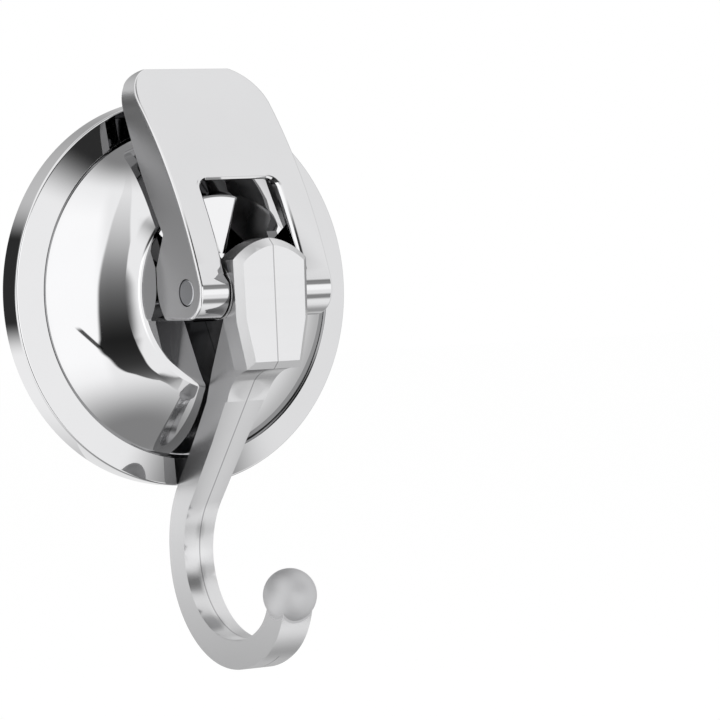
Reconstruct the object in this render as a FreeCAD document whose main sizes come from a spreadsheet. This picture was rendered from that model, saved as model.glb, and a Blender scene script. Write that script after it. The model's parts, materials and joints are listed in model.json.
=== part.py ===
import FreeCAD, Part
import math
import os
import re
import Sketcher

# Lever-lock suction cup hook, as it hangs on a wall.
# X is to the right, Z is up, and the wall is the plane Y = 0, with the hook on its -Y side.
# "Out" is the distance from the wall side towards the room, so out = -Y.
# All lengths are in millimetres and all angles in degrees.

# Driving sizes
SIZES = {
    # housing: a ring, a cone and a dome with a flat seat for the lever's cams
    "ring_diameter": 65.0,
    "ring_thick": 4.5,
    "ring_chamfer": 0.5,
    "cone_rise": 1.3,
    "ring_face": 4.85,
    "crease": 0.3,
    "dome_bulge_radius": 40.0,
    "seat_diameter": 32.0,
    "seat_height": 16.5,
    "seat_round": 2.0,
    "shell_wall": 2.0,
    "guide_diameter": 16.0,
    "guide_length": 5.5,
    "rib_count": 8,
    "rib_thick": 1.6,
    "rib_foot": 1.2,
    # suction pad
    "lip_thick": 1.0,
    "pad_inset": 1.5,
    "pad_gap": 1.3,
    "pad_crown": 8.6,
    "vault_diameter": 40.0,
    "vault_rise": 4.5,
    "boss_diameter": 18.0,
    "boss_gap": 0.8,
    "mould_gap": 0.15,
    # pull stud
    "stud_width": 6.4,
    "stud_height": 9.0,
    "slide_gap": 0.15,
    "flange_diameter": 14.0,
    "flange_thick": 1.8,
    "flange_out": 7.2,
    "eye_diameter": 8.0,
    "eye_thick": 4.0,
    "shoulder_gap": 1.4,
    # pivot pin
    "pin_diameter": 4.4,
    "pin_chamfer": 0.25,
    "bore_gap": 0.05,
    # lever
    "lever_width": 25.7,
    "lever_wall": 2.0,
    "lever_reach": 37.2,
    "lever_set_back": 17.4,
    "lever_corner": 7.0,
    "lever_round": 0.5,
    "barrel_radius": 4.5,
    "barrel_slope": 17.7,
    "tip_radius": 1.75,
    "tip_turn": 118.5,
    "tip_lean": 21.4,
    "back_bow_radius": 110.0,
    "flange_waist_out": 6.3,
    "flange_waist_up": 9.6,
    "cam_reach": 8.85,
    "cam_top": 4.2,
    "cam_gap": 0.15,
    "cam_sweep": 45.0,
    "stroke": 2.5,
    "lever_swing": 100.0,
    "head_gap": 0.3,
    "window_top": 18.2,
    "window_corner": 1.6,
    # hook
    "head_width": 14.2,
    "head_top": 8.4,
    "head_shoulder": 5.0,
    "head_waist": -5.0,
    "head_bottom": -12.9,
    "head_waist_in": 0.2,
    "head_bottom_in": 1.9,
    "head_front": 6.6,
    "head_back": 1.5,
    "head_crown_radius": 11.5,
    "head_bevel": 1.2,
    "ear_diameter": 9.2,
    "slot_gap": 0.3,
    "slot_depth_gap": 1.0,
    "bar_thick": 5.0,
    "bar_width": 8.2,
    "bar_ridge": 0.45,
    "bar_waist_width": 6.7,
    "bar_waist_up": -25.0,
    "bar_end_width": 5.7,
    "bar_end_up": -44.0,
    "bar_lead": 0.26,
    "bar_start_out": 0.8,
    "bar_bend_radius": 10.0,
    "elbow_up": -8.93,
    "neck_length": 5.3,
    "neck_fillet": 9.0,
    "ring_to_hook": 0.35,
    "sweep_radius": 16.1,
    "sweep_below_ring": 11.55,
    "mouth_radius": 9.8,
    "mouth_turn": 56.0,
    "ball_turn": 4.0,
    "ball_diameter": 8.8,
}

# Sizes that follow from the driving sizes
DERIVED = {
    "ring_radius": "ring_diameter / 2",
    "dome_diameter": "ring_diameter - 2 * ring_face",
    "cone_out": "ring_thick + cone_rise",
    "dome_foot_out": "cone_out - crease",
    "dome_rise": "seat_height - dome_foot_out",
    "dome_inset": "(dome_diameter - seat_diameter) / 2",
    "dome_chord": "sqrt(dome_rise ^ 2 + dome_inset ^ 2)",
    "wall_out": "shell_wall * dome_inset / dome_chord",
    "wall_in": "shell_wall * dome_rise / dome_chord",
    "throat_radius": "dome_diameter / 2 - wall_in",
    "throat_out": "dome_foot_out - wall_out",
    "guide_out": "seat_height - guide_length",
    "pin_height": "seat_height + cam_gap + cam_reach",
    "pin_out": "lip_thick + pin_height",
    "pad_radius": "ring_radius - pad_inset",
    "pad_shoulder_radius": "throat_radius - pad_gap",
    "boss_height": "lip_thick + guide_out - boss_gap",
    "vault_radius": "vault_diameter / 2",
    "vault_arc": "(vault_radius ^ 2 + vault_rise ^ 2) / (2 * vault_rise)",
    "ear_radius": "ear_diameter / 2",
    "eye_radius": "eye_diameter / 2",
    "shoulder_out": "-(ear_radius + shoulder_gap)",
    "flange_from_pin": "flange_out - pin_out",
    "cam_fall": "stroke / (lever_swing * pi / 180)",
    "cam_end": "cam_reach - stroke * cam_sweep / lever_swing",
    "barrel_front_out": "barrel_radius * cos(barrel_slope)",
    "barrel_front_up": "barrel_radius * sin(barrel_slope)",
    "front_run": "lever_set_back + barrel_front_out",
    "front_rise": "lever_reach - barrel_front_up",
    "front_chord": "sqrt(front_run ^ 2 + front_rise ^ 2)",
    "front_bow_radius": "front_chord / (2 * sin(atan(front_run / front_rise) / 1 deg - barrel_slope))",
    "tip_chord": "2 * tip_radius * sin(tip_turn / 2)",
    "tip_back": "lever_set_back + tip_chord * sin(tip_lean)",
    "tip_up": "lever_reach - tip_chord * cos(tip_lean)",
    "window_width": "head_width + 2 * head_gap",
    "slot_radius": "eye_radius + slot_depth_gap",
    "neck_foot_up": "head_bottom - neck_length",
    "bar_half": "bar_thick / 2",
    "rim_out": "ring_thick - ring_chamfer / 2 - pin_height",
    "rim_up": "-(ring_radius - ring_chamfer / 2)",
    "elbow_from_rim_out": "bar_start_out - rim_out",
    "elbow_from_rim_up": "elbow_up - rim_up",
    "elbow_from_rim": "sqrt(elbow_from_rim_out ^ 2 + elbow_from_rim_up ^ 2)",
    "shank_lean": "(atan(elbow_from_rim_out / elbow_from_rim_up)"
                  " - asin((ring_to_hook + bar_half) / elbow_from_rim)) / 1 deg",
    "sweep_centre": "rim_up - sweep_below_ring",
    "sweep_offset": "ring_to_hook + bar_half + sweep_radius",
    "sweep_out": "rim_out + (sweep_offset + (sweep_centre - rim_up) * sin(shank_lean)) / cos(shank_lean)",
    "mouth_out": "sweep_out + (sweep_radius - mouth_radius) * cos(mouth_turn)",
    "mouth_up": "sweep_centre - (sweep_radius - mouth_radius) * sin(mouth_turn)",
    "shank_foot_out": "sweep_out - sweep_radius * cos(shank_lean)",
    "shank_foot_up": "sweep_centre + sweep_radius * sin(shank_lean)",
    "elbow_run": "bar_bend_radius * tan(shank_lean / 2)",
    "bar_start": "elbow_up + elbow_run + bar_lead",
    "neck_front_out": "shank_foot_out + (neck_foot_up - shank_foot_up) * tan(shank_lean)"
                      " + bar_half / cos(shank_lean)",
    "neck_back_out": "shank_foot_out + (neck_foot_up - shank_foot_up) * tan(shank_lean)"
                     " - bar_half / cos(shank_lean)",
}

# Points at which an edge is looked at when edges are picked by their place
EDGE_SAMPLES = 9

doc = FreeCAD.newDocument("SuctionCupHook")
sheet = doc.addObject("Spreadsheet::Sheet", "Sizes")
for row, (name, amount) in enumerate(SIZES.items(), start=1):
    sheet.set(f"A{row}", name)
    sheet.set(f"B{row}", str(amount))
    sheet.setAlias(f"B{row}", name)
doc.recompute()


def formula(text):
    """Write out a formula's words as cells of the sheet."""
    def cell(match):
        word = match.group(0)
        if word in DERIVED:
            return "(" + formula(DERIVED[word]) + ")"
        return "Sizes." + word if word in SIZES else word
    return re.sub(r"[a-z][a-z_]*", cell, text)


def value(text):
    """Work out a formula with the sheet's present sizes."""
    return float(sheet.evalExpression(formula(text)))


def bind(thing, prop, text):
    """Tie one property to a formula."""
    thing.setExpression(prop, formula(text))


# A view of a piece gives the plane to draw on, and turns a point of the piece into that plane's coordinates
def section_point(radius, out):
    return radius, f"-({out})"


def side_point(out, up):
    return f"-({out})", up


def front_point(right, up):
    return right, up


VIEWS = {
    "section": ("XY_Plane", section_point),
    "side": ("YZ_Plane", side_point),
    "front": ("XZ_Plane", front_point),
    "plan": ("XY_Plane", section_point),
}


def new_body(label, out="0"):
    """A body whose own origin lies this far out from the wall."""
    body = doc.addObject("PartDesign::Body", label)
    body.Label = label
    bind(body, "Placement.Base.y", f"-({out})")
    return body


def new_sketch(body, name, view, lift="0"):
    """A sketch on one of the body's own origin planes, moved along that plane's normal."""
    role = VIEWS[view][0]
    sketch = body.newObject("Sketcher::SketchObject", name)
    plane = next(item for item in body.Origin.OriginFeatures if item.Role == role)
    sketch.AttachmentSupport = [(plane, "")]
    sketch.MapMode = "FlatFace"
    bind(sketch, ".AttachmentOffset.Base.z", lift)
    return sketch


def fix_point(sketch, item, end, x_text, y_text):
    """Hold a point of the sketch at two formulas."""
    for kind, text, axis in (("DistanceX", x_text, -2), ("DistanceY", y_text, -1)):
        amount = value(text)
        if abs(amount) < 1e-9:
            sketch.addConstraint(Sketcher.Constraint("PointOnObject", item, end, axis))
            continue
        index = sketch.addConstraint(Sketcher.Constraint(kind, -1, 1, item, end, amount))
        bind(sketch, f"Constraints[{index}]", text)


def arc_through(start, end, radius, bulge, centroid):
    """The short arc between two points that bows away from the centroid, or towards it."""
    chord = end.sub(start)
    middle = (start + end) * 0.5
    normal = FreeCAD.Vector(-chord.y, chord.x, 0).normalize()
    if (normal.dot(middle.sub(centroid)) > 0) != bulge:
        normal = normal * -1
    half = chord.Length / 2
    sagitta = radius - math.sqrt(max(0.0, radius ** 2 - half ** 2))
    return Part.Arc(start, middle + normal * sagitta, end)


def outline(sketch, view, corners, closed=True):
    """Join corners by lines, or by an arc where the corner names a radius.

    A corner is (first, second) or (first, second, radius, "bulge" or "hollow"),
    and its arc runs to the next corner.
    """
    to_plane = VIEWS[view][1]
    places = [to_plane(corner[0], corner[1]) for corner in corners]
    points = [FreeCAD.Vector(value(x), value(y), 0) for x, y in places]
    centroid = sum(points[1:], points[0]) * (1 / len(points))
    first = sketch.GeometryCount
    count = len(corners) if closed else len(corners) - 1
    for index in range(count):
        corner = corners[index]
        start, end = points[index], points[(index + 1) % len(points)]
        if len(corner) == 2:
            sketch.addGeometry(Part.LineSegment(start, end), False)
        else:
            bows = corner[3] == "bulge"
            sketch.addGeometry(arc_through(start, end, value(corner[2]), bows, centroid), False)
    for index in range(count):
        item = first + index
        starts_at = start_end(sketch, item, points[index])
        fix_point(sketch, item, starts_at, *places[index])
        last = index == count - 1
        if last and not closed:
            fix_point(sketch, item, 3 - starts_at, *places[index + 1])
        else:
            following = first + (index + 1) % count
            joins_at = start_end(sketch, following, points[(index + 1) % len(points)])
            sketch.addConstraint(
                Sketcher.Constraint("Coincident", item, 3 - starts_at, following, joins_at))
        if len(corners[index]) == 4:
            radius = corners[index][2]
            at = sketch.addConstraint(Sketcher.Constraint("Radius", item, value(radius)))
            bind(sketch, f"Constraints[{at}]", radius)


def start_end(sketch, item, point):
    """Which end of a line or arc lies at the point: 1 or 2."""
    return 1 if sketch.getPoint(item, 1).distanceToPoint(point) < 1e-6 else 2


def circle(sketch, view, first, second, radius):
    """A full circle held by its centre and radius."""
    x_text, y_text = VIEWS[view][1](first, second)
    centre = FreeCAD.Vector(value(x_text), value(y_text), 0)
    up = FreeCAD.Vector(0, 0, 1)
    item = sketch.addGeometry(Part.Circle(centre, up, value(radius)), False)
    fix_point(sketch, item, 3, x_text, y_text)
    at = sketch.addConstraint(Sketcher.Constraint("Radius", item, value(radius)))
    bind(sketch, f"Constraints[{at}]", radius)


def pad(body, name, sketch, length, both_ways=False):
    """Add material along the sketch's normal, or half of it each way."""
    feature = body.newObject("PartDesign::Pad", name)
    feature.Profile = sketch
    bind(feature, "Length", length)
    feature.SideType = "Symmetric" if both_ways else "One side"
    return feature


def pocket(body, name, sketch, length=None):
    """Cut both ways from the sketch: right through, or by a given width."""
    feature = body.newObject("PartDesign::Pocket", name)
    feature.Profile = sketch
    feature.SideType = "Symmetric"
    if length is None:
        feature.Type = "ThroughAll"
    else:
        bind(feature, "Length", length)
    before = feature.BaseFeature.Shape.Volume
    doc.recompute()
    if feature.Shape.Volume >= before:
        raise ValueError(name + " cuts nothing")
    return feature


def turned(body, kind, name, sketch):
    """Turn a section about the line through the middle of the piece, which points at the wall."""
    feature = body.newObject("PartDesign::" + kind, name)
    feature.Profile = sketch
    feature.ReferenceAxis = (sketch, ["V_Axis"])
    feature.Angle = 360
    return feature


def edges_where(feature, test):
    """Names of the feature's edges that pass the test."""
    doc.recompute()
    return [f"Edge{i}" for i, edge in enumerate(feature.Shape.Edges, start=1) if test(edge)]


def round_edges(body, name, feature, test, radius):
    """Round the edges that pass the test."""
    rounded = body.newObject("PartDesign::Fillet", name)
    rounded.Base = (feature, edges_where(feature, test))
    bind(rounded, "Radius", radius)
    return rounded


def bevel_edges(body, name, feature, test, size):
    """Bevel the edges that pass the test."""
    bevelled = body.newObject("PartDesign::Chamfer", name)
    bevelled.Base = (feature, edges_where(feature, test))
    bind(bevelled, "Size", size)
    return bevelled


def face_edges(feature, radii):
    """All edges of the round faces that have one of these radii."""
    sizes = [value(radius) for radius in radii]
    edges = []
    for face in feature.Shape.Faces:
        turn = getattr(face.Surface, "Radius", 0)
        if any(abs(turn - size) < 1e-3 for size in sizes):
            edges.extend(face.Edges)
    return edges


def bounds_of(edge):
    """The edge's least and greatest right, out and up."""
    points = edge.discretize(EDGE_SAMPLES)
    right = [point.x for point in points]
    out = [-point.y for point in points]
    up = [point.z for point in points]
    return min(right), max(right), min(out), max(out), min(up), max(up)


def double_flat(sketch, width, height):
    """A circle with two flats, centred on the origin, in the front view."""
    rise = f"sqrt((({height}) / 2) ^ 2 - (({width}) / 2) ^ 2)"
    outline(sketch, "front", [
        (f"({width}) / 2", f"-({rise})"),
        (f"({width}) / 2", rise, f"({height}) / 2", "bulge"),
        (f"-({width}) / 2", rise),
        (f"-({width}) / 2", f"-({rise})", f"({height}) / 2", "bulge"),
    ])


def make_housing():
    """Plated dome with its ring, cam seat, stud guide and inner ribs."""
    body = new_body("dome_housing", "lip_thick")
    section = new_sketch(body, "housing_section", "section")
    outline(section, "section", [
        ("0", "seat_height"),
        ("0", "guide_out"),
        ("guide_diameter / 2", "guide_out"),
        ("guide_diameter / 2", "seat_height - shell_wall"),
        ("seat_diameter / 2 - shell_wall", "seat_height - shell_wall", "dome_bulge_radius", "bulge"),
        ("throat_radius", "throat_out"),
        ("throat_radius", "0"),
        ("ring_radius", "0"),
        ("ring_radius", "ring_thick - ring_chamfer"),
        ("ring_radius - ring_chamfer", "ring_thick"),
        ("dome_diameter / 2 + crease", "cone_out"),
        ("dome_diameter / 2", "dome_foot_out", "dome_bulge_radius", "bulge"),
        ("seat_diameter / 2", "seat_height"),
    ])
    shell = turned(body, "Revolution", "housing_shell", section)

    def seat_edge(edge):
        left, right, low, high, _, _ = bounds_of(edge)
        flat = high - low < 1e-3 and abs(high - value("seat_height")) < 1e-3
        return flat and abs(right - left - value("seat_diameter")) < 1e-3

    round_edges(body, "seat_round_over", shell, seat_edge, "seat_round")
    rib_section = new_sketch(body, "rib_section", "side")
    outline(rib_section, "side", [
        ("guide_out", "guide_diameter / 2 - shell_wall"),
        ("guide_out", "boss_diameter / 2 + shell_wall"),
        ("rib_foot", "throat_radius"),
        ("rib_foot", "throat_radius + shell_wall / 2"),
        ("throat_out", "throat_radius + wall_in / 2", "dome_bulge_radius", "bulge"),
        ("seat_height - shell_wall / 2", "seat_diameter / 2 - shell_wall"),
        ("seat_height - shell_wall / 2", "guide_diameter / 2 - shell_wall"),
    ])
    rib = pad(body, "rib", rib_section, "rib_thick", both_ways=True)
    opening = new_sketch(body, "stud_opening", "front")
    double_flat(opening, "stud_width + 2 * slide_gap", "stud_height + 2 * slide_gap")
    doc.recompute()
    ribs = body.newObject("PartDesign::PolarPattern", "ribs")
    ribs.Originals = [rib]
    ribs.Axis = (opening, ["N_Axis"])
    ribs.Angle = 360
    bind(ribs, "Occurrences", "rib_count")
    body.Tip = ribs
    doc.recompute()
    pocket(body, "stud_guide", opening)
    return body


def make_pad():
    """Soft pad with a flat land on the wall, a vault and a boss moulded round the stud."""
    body = new_body("suction_pad")
    section = new_sketch(body, "pad_section", "section")
    outline(section, "section", [
        ("0", "boss_height"),
        ("0", "vault_rise", "vault_arc", "hollow"),
        ("vault_radius", "0"),
        ("pad_radius", "0"),
        ("pad_radius", "lip_thick"),
        ("pad_shoulder_radius", "lip_thick"),
        ("boss_diameter / 2", "pad_crown"),
        ("boss_diameter / 2", "boss_height"),
    ])
    turned(body, "Revolution", "pad_form", section)
    doc.recompute()
    seat = new_sketch(body, "flange_seat_section", "section")
    outline(seat, "section", [
        ("0", "flange_out - mould_gap"),
        ("flange_diameter / 2 + mould_gap", "flange_out - mould_gap"),
        ("flange_diameter / 2 + mould_gap", "flange_out + flange_thick + mould_gap"),
        ("0", "flange_out + flange_thick + mould_gap"),
    ])
    turned(body, "Groove", "flange_seat", seat)
    doc.recompute()
    neck = new_sketch(body, "stud_neck", "front", "flange_out")
    double_flat(neck, "stud_width + 2 * mould_gap", "stud_height + 2 * mould_gap")
    opening = body.newObject("PartDesign::Pocket", "stud_neck_opening")
    opening.Profile = neck
    opening.SideType = "One side"
    opening.Reversed = True
    opening.Type = "ThroughAll"
    return body


def make_stud():
    """Metal stud: a flange held in the pad, a shank with two flats, and an eye for the pin."""
    body = new_body("pull_stud", "pin_out")
    disc = new_sketch(body, "flange_outline", "front", "flange_from_pin")
    circle(disc, "front", "0", "0", "flange_diameter / 2")
    pad(body, "flange", disc, "flange_thick")
    shank = new_sketch(body, "shank_outline", "front", "flange_from_pin")
    double_flat(shank, "stud_width", "stud_height")
    pad(body, "shank", shank, "shoulder_out - flange_from_pin")
    blade = new_sketch(body, "eye_outline", "side")
    outline(blade, "side", [
        ("shoulder_out - eye_thick / 2", "-eye_radius"),
        ("0", "-eye_radius", "eye_radius", "bulge"),
        ("eye_radius", "0", "eye_radius", "bulge"),
        ("0", "eye_radius"),
        ("shoulder_out - eye_thick / 2", "eye_radius"),
    ])
    pad(body, "eye", blade, "eye_thick", both_ways=True)
    doc.recompute()
    bore = new_sketch(body, "eye_bore_outline", "side")
    circle(bore, "side", "0", "0", "pin_diameter / 2 + bore_gap")
    pocket(body, "eye_bore", bore)
    return body


def make_pin():
    """Plain pin, flush with the lever's two sides."""
    body = new_body("pivot_pin", "pin_out")
    section = new_sketch(body, "pin_outline", "side")
    circle(section, "side", "0", "0", "pin_diameter / 2")
    rod = pad(body, "rod", section, "lever_width", both_ways=True)

    def end_edge(edge):
        left, right, *_ = bounds_of(edge)
        return right - left < 1e-3

    bevel_edges(body, "end_bevels", rod, end_edge, "pin_chamfer")
    return body


def make_lever():
    """Curved lever with two sides, a window and two cam barrels on the pin."""
    body = new_body("lever", "pin_out")
    side = new_sketch(body, "lever_side", "side")
    outline(side, "side", [
        ("0", "-barrel_radius", "barrel_radius", "bulge"),
        ("barrel_front_out", "barrel_front_up", "front_bow_radius", "bulge"),
        ("-lever_set_back", "lever_reach", "tip_radius", "bulge"),
        ("-tip_back", "tip_up", "back_bow_radius", "hollow"),
        ("-flange_waist_out", "flange_waist_up"),
        ("-cam_reach", "cam_top"),
        ("-cam_reach", "cam_fall", "(cam_reach + cam_end) / 2", "bulge"),
        ("-cam_end * cos(cam_sweep) - cam_fall * sin(cam_sweep)",
         "-cam_end * sin(cam_sweep) + cam_fall * cos(cam_sweep)"),
    ])
    pad(body, "lever_block", side, "lever_width", both_ways=True)
    doc.recompute()
    front = new_sketch(body, "lever_front", "front")
    outline(front, "front", [
        ("-lever_width", "-lever_reach"),
        ("lever_width", "-lever_reach"),
        ("lever_width", "2 * lever_reach"),
        ("-lever_width", "2 * lever_reach"),
    ])
    outline(front, "front", [
        ("-lever_width / 2", "-lever_reach / 2"),
        ("lever_width / 2", "-lever_reach / 2"),
        ("lever_width / 2", "lever_reach - lever_corner + tip_radius / 4", "lever_corner", "bulge"),
        ("lever_width / 2 - lever_corner", "lever_reach + tip_radius / 4"),
        ("lever_corner - lever_width / 2", "lever_reach + tip_radius / 4", "lever_corner", "bulge"),
        ("-lever_width / 2", "lever_reach - lever_corner + tip_radius / 4"),
    ])
    shaped = pocket(body, "rounded_corners", front)
    shown = face_edges(shaped, ["front_bow_radius", "barrel_radius"])

    def outer_edge(edge):
        left, right, out_low, out_high, low, high = bounds_of(edge)
        along_lever = out_high - out_low > 1e-3 or high - low > 1e-3
        return along_lever and any(edge.isSame(other) for other in shown)

    round_edges(body, "front_rounding", shaped, outer_edge, "lever_round")
    doc.recompute()
    hollow = new_sketch(body, "lever_hollow", "side")
    outline(hollow, "side", [
        ("barrel_front_out - lever_wall", "cam_top + lever_wall", "front_bow_radius - lever_wall", "bulge"),
        ("-lever_set_back - lever_wall / 2", "lever_reach - 2 * lever_wall"),
        ("-lever_set_back - 2 * lever_reach / 3", "lever_reach - 4 * lever_wall"),
        ("-lever_set_back - lever_reach / 3", "cam_top + lever_wall"),
    ])
    pocket(body, "hollow", hollow, "lever_width - 2 * lever_wall")
    window = new_sketch(body, "window_outline", "front")
    outline(window, "front", [
        ("-window_width / 2", "-2 * barrel_radius"),
        ("window_width / 2", "-2 * barrel_radius"),
        ("window_width / 2", "window_top - window_corner", "window_corner", "bulge"),
        ("window_width / 2 - window_corner", "window_top"),
        ("window_corner - window_width / 2", "window_top", "window_corner", "bulge"),
        ("-window_width / 2", "window_top - window_corner"),
    ])
    pocket(body, "window", window)
    bore = new_sketch(body, "pin_bore_outline", "side")
    circle(bore, "side", "0", "0", "pin_diameter / 2 + bore_gap")
    pocket(body, "pin_bore", bore)
    return body


def make_hook():
    """One casting: shield-shaped head with two ears, a ridged bar bent to a J, and a ball."""
    body = new_body("hook", "pin_out")
    shield = new_sketch(body, "head_front", "front", "head_back")
    outline(shield, "front", [
        ("head_width / 2 - head_bottom_in", "head_bottom"),
        ("head_width / 2 - head_waist_in", "head_waist"),
        ("head_width / 2", "head_shoulder", "head_crown_radius", "bulge"),
        ("0", "head_top", "head_crown_radius", "bulge"),
        ("-head_width / 2", "head_shoulder"),
        ("head_waist_in - head_width / 2", "head_waist"),
        ("head_bottom_in - head_width / 2", "head_bottom"),
    ])
    head = pad(body, "head", shield, "head_front - head_back")

    def head_rim(edge):
        _, _, low, high, _, _ = bounds_of(edge)
        return high - low < 1e-3 and abs(high - value("head_front")) < 1e-3

    bevel_edges(body, "head_bevel", head, head_rim, "head_bevel")
    ears = new_sketch(body, "ear_outline", "side")
    circle(ears, "side", "0", "0", "ear_radius")
    pad(body, "ears", ears, "head_width", both_ways=True)
    doc.recompute()
    path = new_sketch(body, "bar_path", "side")
    outline(path, "side", [
        ("bar_start_out", "bar_start"),
        ("bar_start_out", "elbow_up + elbow_run", "bar_bend_radius", "hollow"),
        ("bar_start_out - elbow_run * sin(shank_lean)", "elbow_up - elbow_run * cos(shank_lean)"),
        ("shank_foot_out", "shank_foot_up", "sweep_radius", "bulge"),
        ("sweep_out - sweep_radius", "sweep_centre", "sweep_radius", "bulge"),
        ("sweep_out + sweep_radius * cos(mouth_turn)", "sweep_centre - sweep_radius * sin(mouth_turn)",
         "mouth_radius", "bulge"),
        ("mouth_out + mouth_radius * cos(mouth_turn / 4)", "mouth_up - mouth_radius * sin(mouth_turn / 4)"),
    ], closed=False)
    section = new_sketch(body, "bar_section", "plan", "bar_start")
    outline(section, "plan", [
        ("-bar_width / 2", "bar_start_out - bar_half"),
        ("bar_width / 2", "bar_start_out - bar_half"),
        ("bar_width / 2", "bar_start_out + bar_half - bar_ridge"),
        ("0", "bar_start_out + bar_half"),
        ("-bar_width / 2", "bar_start_out + bar_half - bar_ridge"),
    ])
    doc.recompute()
    bar = body.newObject("PartDesign::AdditivePipe", "bar")
    bar.Profile = section
    bar.Spine = (path, [f"Edge{i + 1}" for i in range(path.GeometryCount)])
    doc.recompute()
    neck = new_sketch(body, "neck_side", "side")
    outline(neck, "side", [
        ("bar_start_out - bar_half", "-ear_radius / 2"),
        ("neck_back_out", "neck_foot_up"),
        ("neck_front_out", "neck_foot_up", "neck_fillet", "hollow"),
        ("head_front - head_bevel", "head_bottom"),
        ("head_front - head_bevel", "-ear_radius / 2"),
    ])
    pad(body, "neck", neck, "bar_width", both_ways=True)
    doc.recompute()
    trim = new_sketch(body, "bar_front", "front")
    outline(trim, "front", [
        ("-2 * bar_width", "head_bottom"),
        ("-bar_width / 2", "head_bottom"),
        ("-bar_waist_width / 2", "bar_waist_up"),
        ("-bar_end_width / 2", "bar_end_up"),
        ("-bar_end_width / 2", "mouth_up - 2 * mouth_radius"),
        ("-2 * bar_width", "mouth_up - 2 * mouth_radius"),
    ])
    outline(trim, "front", [
        ("2 * bar_width", "head_bottom"),
        ("bar_width / 2", "head_bottom"),
        ("bar_waist_width / 2", "bar_waist_up"),
        ("bar_end_width / 2", "bar_end_up"),
        ("bar_end_width / 2", "mouth_up - 2 * mouth_radius"),
        ("2 * bar_width", "mouth_up - 2 * mouth_radius"),
    ])
    pocket(body, "bar_taper", trim)
    ball = body.newObject("PartDesign::AdditiveSphere", "ball")
    bind(ball, "Radius", "ball_diameter / 2")
    plane = next(item for item in body.Origin.OriginFeatures if item.Role == "YZ_Plane")
    ball.AttachmentSupport = [(plane, "")]
    ball.MapMode = "FlatFace"
    bind(ball, ".AttachmentOffset.Base.x", "-(mouth_out + mouth_radius * cos(ball_turn))")
    bind(ball, ".AttachmentOffset.Base.y", "mouth_up - mouth_radius * sin(ball_turn)")
    doc.recompute()
    slot = new_sketch(body, "slot_side", "side")
    outline(slot, "side", [
        ("-2 * slot_radius", "-slot_radius"),
        ("0", "-slot_radius", "slot_radius", "bulge"),
        ("slot_radius", "0", "slot_radius", "bulge"),
        ("0", "slot_radius"),
        ("-2 * slot_radius", "slot_radius"),
    ])
    pocket(body, "stud_slot", slot, "eye_thick + 2 * slot_gap")
    bore = new_sketch(body, "ear_bore_outline", "side")
    circle(bore, "side", "0", "0", "pin_diameter / 2 + bore_gap")
    pocket(body, "ear_bore", bore)
    return body


BODIES = [make_housing(), make_pad(), make_stud(), make_pin(), make_lever(), make_hook()]
doc.recompute()

for item in doc.Objects:
    if "Invalid" in item.State or "Error" in item.State:
        raise ValueError(item.Name + " failed: " + str(item.State))
for body in BODIES:
    if body.Shape.isNull() or not body.Shape.isValid():
        raise ValueError(body.Label + " has no valid shape")

os.makedirs("parts", exist_ok=True)
for body in BODIES:
    body.Shape.exportStep(f"parts/{body.Label}.step")
    print(body.Label, "volume", round(body.Shape.Volume), "mm3")
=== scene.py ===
"""Suction cup hook: plated housing, soft pad, cam lever, J hook, pin and stud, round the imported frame."""
import json
import math
from types import SimpleNamespace

import bpy
from mathutils import Matrix, Vector


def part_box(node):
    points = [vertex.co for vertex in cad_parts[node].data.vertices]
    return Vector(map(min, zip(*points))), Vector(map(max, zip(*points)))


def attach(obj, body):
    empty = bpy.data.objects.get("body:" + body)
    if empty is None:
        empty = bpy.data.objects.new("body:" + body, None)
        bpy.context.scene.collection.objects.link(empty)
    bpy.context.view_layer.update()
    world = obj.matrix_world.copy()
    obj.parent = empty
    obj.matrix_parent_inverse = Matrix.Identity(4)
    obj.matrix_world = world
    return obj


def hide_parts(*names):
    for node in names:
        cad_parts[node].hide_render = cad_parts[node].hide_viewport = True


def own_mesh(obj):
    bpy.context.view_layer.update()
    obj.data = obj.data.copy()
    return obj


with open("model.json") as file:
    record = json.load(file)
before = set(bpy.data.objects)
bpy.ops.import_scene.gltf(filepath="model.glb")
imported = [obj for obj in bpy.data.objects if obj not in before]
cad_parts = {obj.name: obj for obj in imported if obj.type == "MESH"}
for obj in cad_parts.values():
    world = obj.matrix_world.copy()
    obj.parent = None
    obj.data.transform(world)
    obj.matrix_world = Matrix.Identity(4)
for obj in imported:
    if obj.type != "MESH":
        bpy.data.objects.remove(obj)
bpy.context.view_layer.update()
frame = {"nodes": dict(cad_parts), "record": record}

bl_info = {
    "name": "Suction Cup Hook",
    "version": (1, 0, 0),
    "blender": (4, 5, 0),
    "location": "View3D > Sidebar > Suction Hook",
    "description": "Dresses a lever-lock suction cup hook in chrome and sets up a pale studio round it",
    "category": "Add Mesh",
}

# Sizes are written in millimetres, and the scene is in metres
MM = 0.001
SLOTS = {slot["slot"]: slot for slot in frame["record"]["materials"]}
# Points closer than this, in metres, are made one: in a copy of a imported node, and in a turned shell
COPY_MERGE = 1e-7
SPIN_MERGE = 1e-6
# Faces of a copy that differ by less than the first turn are one flat area, and an edge between faces that
# differ by more than the second is a sharp one
FLAT_TURN = math.radians(0.4)
SHARP_TURN = math.radians(28)
# Slack in millimetres when an edge is found by its place
SLACK = 0.1


def slot_colour(name):
    """The record's colour of a material slot, as four numbers."""
    return (*SLOTS[name]["base_color"][:3], 1.0)


def corners_of(name):
    """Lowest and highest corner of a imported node, in millimetres."""
    low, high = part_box(name)
    return low / MM, high / MM


HOUSING_LOW, HOUSING_HIGH = corners_of("dome_housing")
PAD_LOW, PAD_HIGH = corners_of("suction_pad")
PIN_LOW, PIN_HIGH = corners_of("pivot_pin")
HOOK_LOW = corners_of("hook")[0]


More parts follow.
